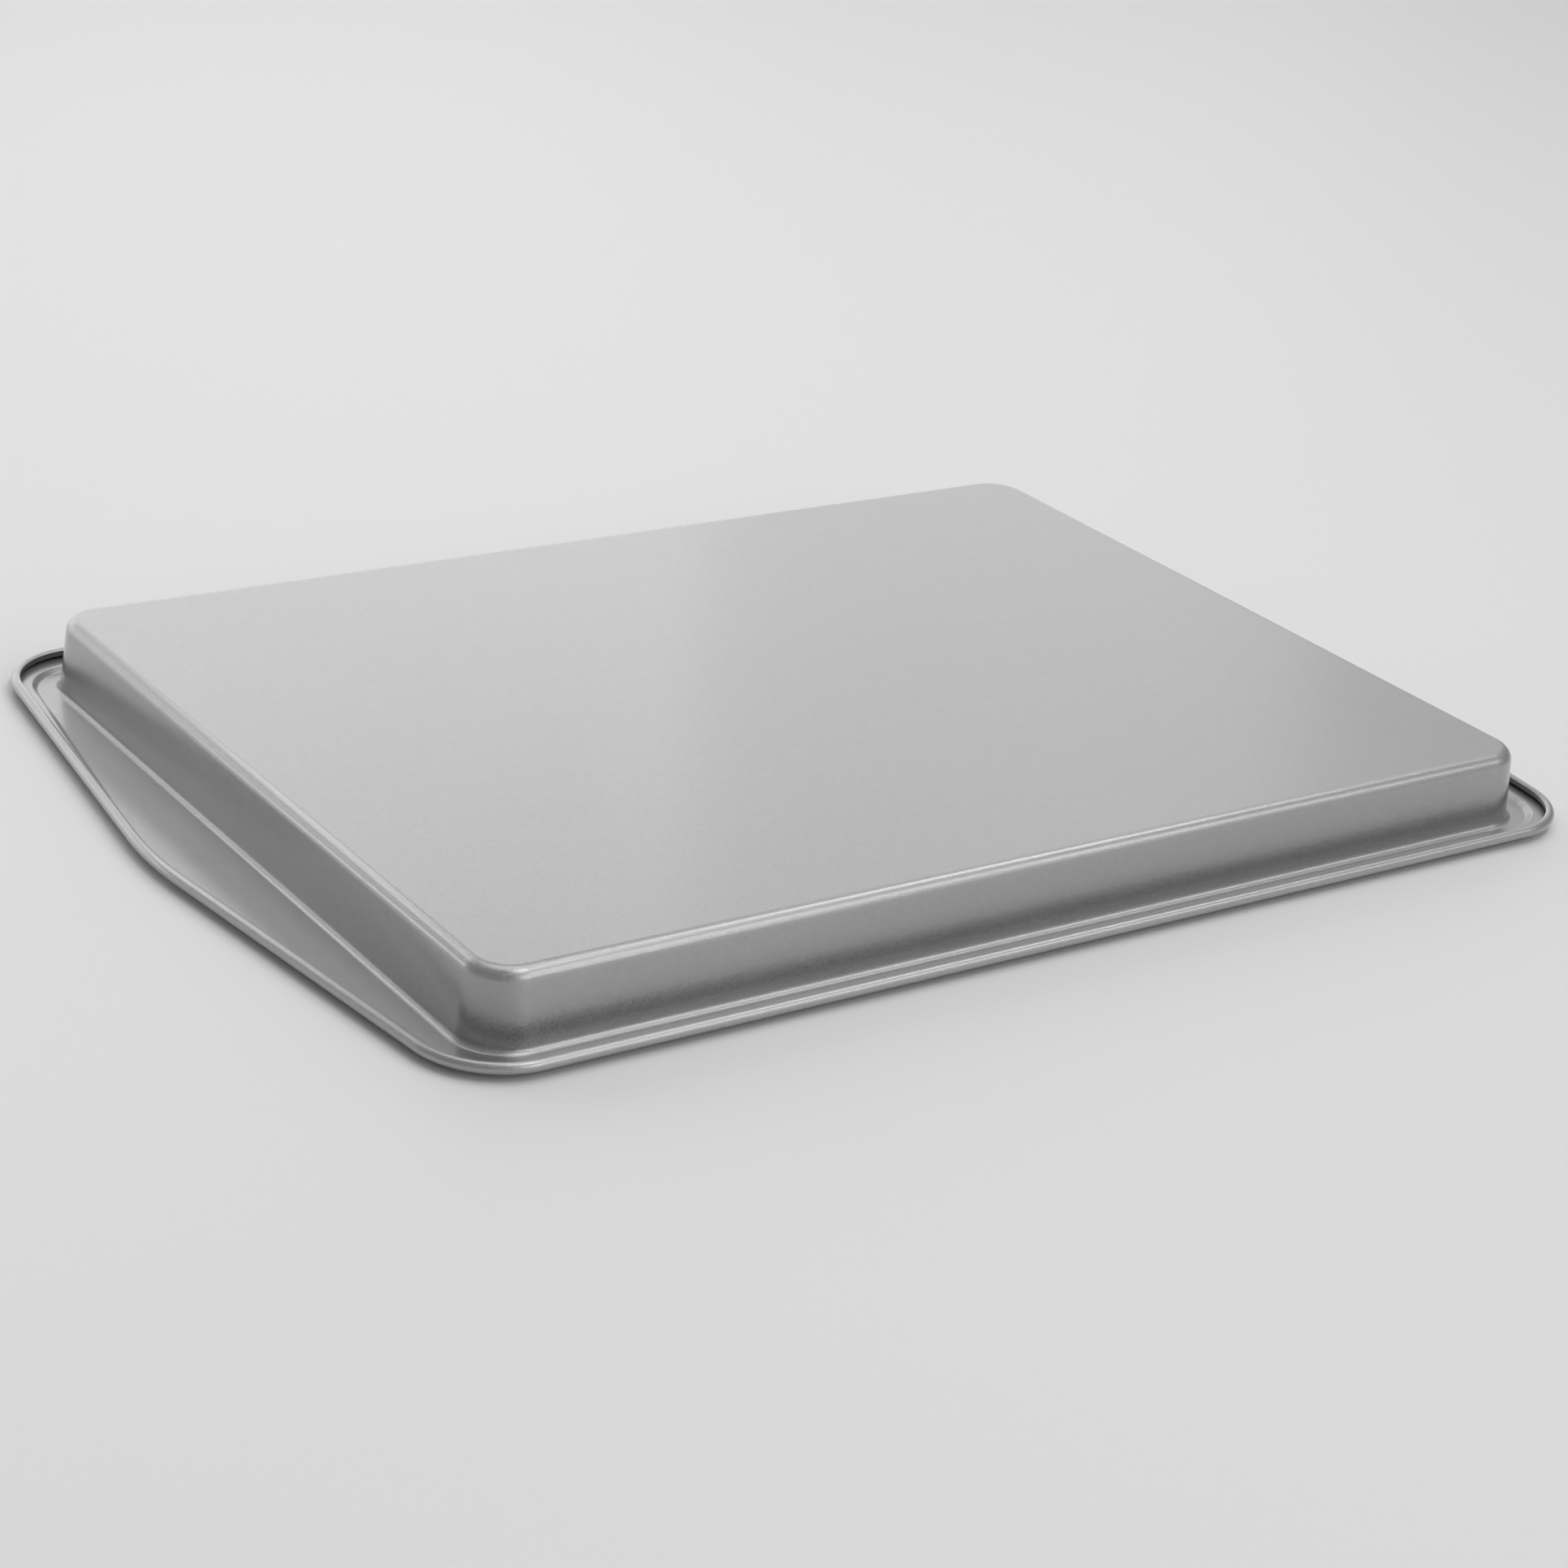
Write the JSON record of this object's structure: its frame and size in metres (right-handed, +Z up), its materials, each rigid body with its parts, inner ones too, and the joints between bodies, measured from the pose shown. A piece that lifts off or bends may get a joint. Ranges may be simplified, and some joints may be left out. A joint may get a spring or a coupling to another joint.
{
  "type": "cookie sheet",
  "caption": "Shallow pressed-steel baking tray with a curled, wire-stiffened rim that widens into a handle at each end, lying base up.",
  "frame": {"origin": "middle of the tray in plan, on the surface that it rests on when it lies base up", "axes": "+X along the long sides towards one handle, +Y across the tray, +Z up out of the base's outside face"},
  "size_m": [0.4516, 0.311, 0.0247],
  "materials": {
    "coated_steel": "satin grey metallic non-stick coating with fine flake",
    "wire_steel": "dull drawn steel wire"
  },
  "bodies": {
    "root": {"pan": "coated_steel", "rim_wire": "wire_steel"}
  },
  "joints": []
}
